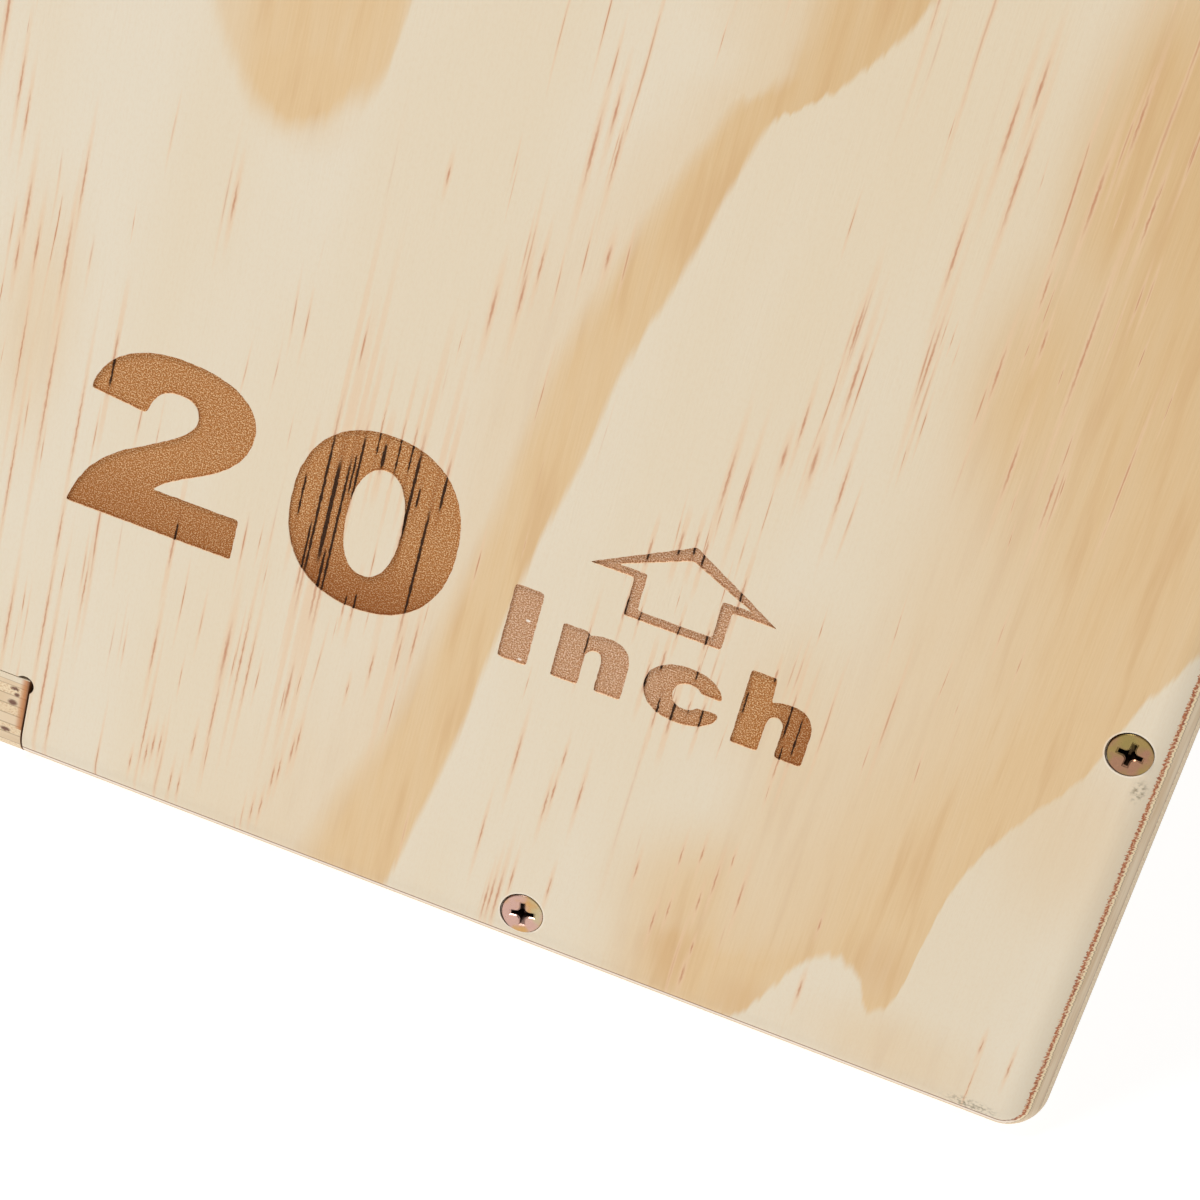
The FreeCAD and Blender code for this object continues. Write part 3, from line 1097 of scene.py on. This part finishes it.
def plywood(node):
    wood = Timber(f"pine_{node}", node)
    seed = wood.seed
    is_upright = PANELS[node][2] == Z

    # Layers: how many plies lie above a point, which way its ply runs, and how near a glue line is
    tear = (wood.grain(7, 0.4) - 0.5) * 1.1
    depth = wood.depth + tear * wood.depth.fall(1.8, 3.0) * wood.facing_across.rise(0.1, 0.4)
    core_top = FACE_VENEER + UNDER_VENEER
    core_end = PLY - core_top
    plies = depth.span(0, FACE_VENEER) + depth.span(FACE_VENEER, core_top)
    plies = plies + depth.span(core_top, core_end, 0, CORE_PLIES)
    plies = plies + depth.span(core_end, PLY - FACE_VENEER) + depth.span(PLY - FACE_VENEER, PLY)
    layer = plies.whole()
    crossed = layer.math("MODULO", 2.0)
    share = plies.rest()
    face = plies.fall(0.99, 1.01).most(plies.rise(LAYERS - 1.01, LAYERS - 0.99))
    under = plies.rise(0.99, 1.01) * plies.fall(1.9, 2.0)
    glue = share.least(1 - share).fall(0.02, 0.09)
    glue = glue * plies.rise(1.5, 1.6) * plies.fall(LAYERS - 0.6, LAYERS - 0.5)
    end_grain = wood.facing_along * (1 - crossed) + wood.facing_across * crossed
    fibre_across = wood.across * (1 - crossed) + wood.along * crossed
    fibre_along = wood.along * (1 - crossed) + wood.across * crossed

    fibre = wood.grain(0.3, 11)
    colour = face_colour(wood, fibre, node == "front_panel")

    # Inner plies, on edges
    grain = wood.noise(fibre_across / 0.5, fibre_along / 14, layer * 3.7 + seed)
    pores = wood.noise(fibre_across / 0.45, wood.depth / 0.35, seed)
    long_cut = wood.mix(grain.rise(0.3, 0.75), CORE_LIGHT, CORE_TAN)
    end_cut = wood.mix(pores.rise(0.4, 0.75), END_LIGHT, END_DARK)
    inner = wood.mix(end_grain.rise(0.35, 0.8), long_cut, end_cut)
    inner = wood.mix(wood.chance(layer + seed) * 0.35, inner, CORE_TAN)
    colour = wood.mix(face, inner, colour)

    # The thin veneer under the face: light wood with a brown glue line, torn where its grain is cut across.
    # Where its long grain shows on an edge it is painted lighter than the face: painted light for the floor's
    # bounce
    torn = wood.facing_across.rise(0.3, 0.5)
    colour = wood.mix(under * torn * 0.85, colour, TORN_LIGHT)
    # Painted light: the under veneer lighter on edges across the face grain
    colour = wood.mix(under * wood.facing_along.rise(0.3, 0.5) * 0.85, colour, UNDER_VENEER_AND_BOUNCE)
    line = (share - torn * 0.32).fall(0.14, 0.32) * under
    tatter = pores.rise(0.5, 0.62) * torn
    colour = wood.mix(line * (1 - tatter * 0.7), colour, wood.mix(torn, UNDER_LINE, GLUE))
    colour = wood.mix(line * pores.fall(0.36, 0.46) * 0.5, colour, STAIN)
    colour = wood.mix(glue * 0.5, colour, SEAM)

    # What the cutter left: stained finger ends. Painted shade on the walls of slots and holes below their top
    # edge, and in the gaps beside the fingers
    cut_wall_shade = wood.facing_out.fall(0.2, 0.45) * wood.depth.rise(0.1, 0.4) * wood.depth.fall(1.5, 3.0)
    colour = wood.mix(cut_wall_shade * CUT_WALL_SHADE_SHARE, colour, CUT_WALL_SHADE)
    if not is_upright:
        side = from_finger_sides(wood, node)
        colour = wood.mix(side.fall(0.5, 2.0) * 0.85, colour, SCORCH)
        # Painted shade: a dark line in the gap beside each finger
        colour = wood.mix(side.fall(0.1, 0.6) * 0.6, colour, CUT_WALL_SHADE)
    if node == "bottom_panel":
        uneven = pores * 0.8 - 0.4 + wood.depth
        stains = spots(wood, wood.vector(from_right(wood), uneven), FINGER_STAINS, 0.4, 1.1)
        colour = wood.mix(stains * wood.facing_along.rise(0.5, 0.9) * 0.9, colour, STAIN)

    return wood.finish(
        base_color=colour,
        roughness=fibre.span(0.3, 0.8, 0.52, 0.66),
        normal=wood.bump(fibre * 0.6 + pores * 0.5, 0.05),
    )


# Burnt recess of the mark

BURNT_LIGHT = srgb(240, 200, 152)
BURNT = srgb(184, 122, 66)
BURNT_DARK = srgb(146, 82, 34)
BURNT_PALE = srgb(200, 152, 112)
PALE_LIGHT = srgb(244, 212, 184)
# Painted highlight for the mark's walls
MARK_WALL_HIGHLIGHT = srgb(252, 228, 188)
CHIP = srgb(252, 240, 226)
BURNT_GLOSS = 0.15
RASTER_STEP = 0.46


def burnt(node):
    """The mark's floor: dark at the digits' feet and the last letter, pale at the others and the arrow."""
    wood = Timber("burnt_mark", node)
    across = from_right(wood)
    pale = across.rise(-126, -121) * (1 - across.rise(-98, -70) * wood.along.fall(74, 77))
    dark = wood.along.fall(58, 76) * across.fall(-126, -121) * across.span(-166, -158, 0.55, 0.9)
    dark = dark + across.rise(-72, -62) * wood.along.fall(74, 77) * 0.7
    speckle = wood.grain(0.25, 0.25, detail=1.0)
    raster = (wood.along / RASTER_STEP).rest().rise(0.35, 0.75)
    colour = wood.mix(pale, wood.mix(dark, BURNT, BURNT_DARK), BURNT_PALE)
    colour = wood.mix(raster * 0.2 + speckle.fall(0.3, 0.5) * 0.5, colour, BURNT_DARK)
    sparkle = speckle.rise(0.5, 0.64) * (1 - dark * 0.6)
    colour = wood.mix(sparkle * 0.85, colour, wood.mix(pale, BURNT_LIGHT, PALE_LIGHT))
    # Painted highlight: the mark's walls lighter near the face
    colour = wood.mix(wood.depth.fall(0.06, 0.36) * 0.85, colour, MARK_WALL_HIGHLIGHT)
    place = front_place(wood)
    for middle, half in CHIPS:
        colour = wood.mix(wood.reach(place, middle, (half, half * 0.6)).fall(0.5, 1.1), colour, CHIP)
    line = resin_lines(wood, BURNT_LINES, 1.0, True)
    colour = wood.mix(line.fall(1.0, 6.0) * 0.3, colour, BURNT_DARK)
    colour = wood.mix(line.fall(0.6, 1.25) * speckle.span(0.3, 0.42, 1.0, 0.92), colour, CHAR)
    wood.shader.inputs["Specular IOR Level"].default_value = BURNT_GLOSS
    return wood.finish(
        base_color=colour,
        roughness=0.8,
        normal=wood.bump(speckle + raster * 0.4, 0.1),
    )


# Zinc of the screws

def zinc(name, batch, shade):
    metal = Paint(name)
    source = metal.node("ShaderNodeTexCoord")
    place = [part / MM for part in metal.parts(source.outputs["Object"])]
    tints, (sheen_at, tint_at) = batch
    sheen = metal.noise(*[part / SHEEN_SIZE + sheen_at for part in place])
    tint = metal.noise(*[part / TINT_SIZE + tint_at for part in place])
    scuff = metal.noise(*[part / SCUFF_SIZE for part in place])
    main, second, third = [(*[part * shade for part in colour], 1.0) for colour in tints]
    colour = metal.mix(sheen.rise(0.42, 0.6), main, second)
    colour = metal.mix(tint.rise(0.5, 0.66) * 0.8, colour, third)
    return metal.finish(
        base_color=colour,
        metallic=1.0,
        roughness=scuff.span(0.3, 0.7, 0.26, 0.44),
        normal=metal.bump(scuff, 0.015),
    )


# Camera, light and floor

def make_camera():
    data = bpy.data.cameras.new("camera")
    data.lens = CAMERA_LENS
    camera = bpy.data.objects.new("camera", data)
    forward = (CAMERA_AIM - CAMERA_PLACE).normalized()
    level = forward.to_track_quat("-Z", "Y").to_matrix().to_4x4()
    camera.matrix_world = Matrix.Translation(CAMERA_PLACE) @ level @ Matrix.Rotation(CAMERA_ROLL, 4, "Z")
    bpy.context.scene.collection.objects.link(camera)
    bpy.context.scene.camera = camera


def make_key_light():
    data = bpy.data.lights.new("key", "AREA")
    data.shape = "DISK"
    data.size = KEY_WIDTH
    data.energy = KEY_POWER
    light = bpy.data.objects.new("key", data)
    light.location = KEY_PLACE
    light.rotation_mode = "QUATERNION"
    light.rotation_quaternion = (KEY_AIM - KEY_PLACE).to_track_quat("-Z", "Y")
    bpy.context.scene.collection.objects.link(light)


def make_floor():
    made = bmesh.new()
    bmesh.ops.create_grid(made, x_segments=8, y_segments=8, size=FLOOR_HALF)
    paper = Paint("floor_paper")
    paper.finish(base_color=FLOOR_GREY, emission_color=WHITE, emission_strength=FLOOR_GLOW)
    floor = new_piece("floor", made, paper.material)
    floor.location.z = -FLOOR_DROP


def make_studio():
    world = bpy.data.worlds.new("studio")
    bpy.context.scene.world = world
    world.use_nodes = True
    background = world.node_tree.nodes["Background"]
    background.inputs["Color"].default_value = WHITE
    background.inputs["Strength"].default_value = SKY_STRENGTH
    bpy.context.scene.view_settings.view_transform = "Standard"


make_camera()
make_floor()
make_studio()
make_key_light()
for node in PANELS:
    wood = plywood(node)
    panel = slab(node, wood)
    if node in ("left_panel", "right_panel"):
        carve(panel, handhold_tool(node, wood))
    carve(panel, hole_tool(node, wood))
    if node == "front_panel":
        carve(panel, mark_tool(burnt(node)))
    smooth(panel)
    dressed(panel, node)
plates = {name: zinc(name, batch, 1.0) for name, batch in ZINC_BATCHES.items()}
# Darker copies of the zinc for the cross recesses: painted shade
pits = {name: zinc(f"{name}_recess", batch, PIT_SHADE) for name, batch in ZINC_BATCHES.items()}
for group in SCREW_GROUPS:
    batch_name = "olive_zinc" if group == DARK_GROUP else "rosy_zinc"
    pair = screw_pair(group, plates[batch_name], pits[batch_name])
    smooth(pair)
    dressed(pair, group)
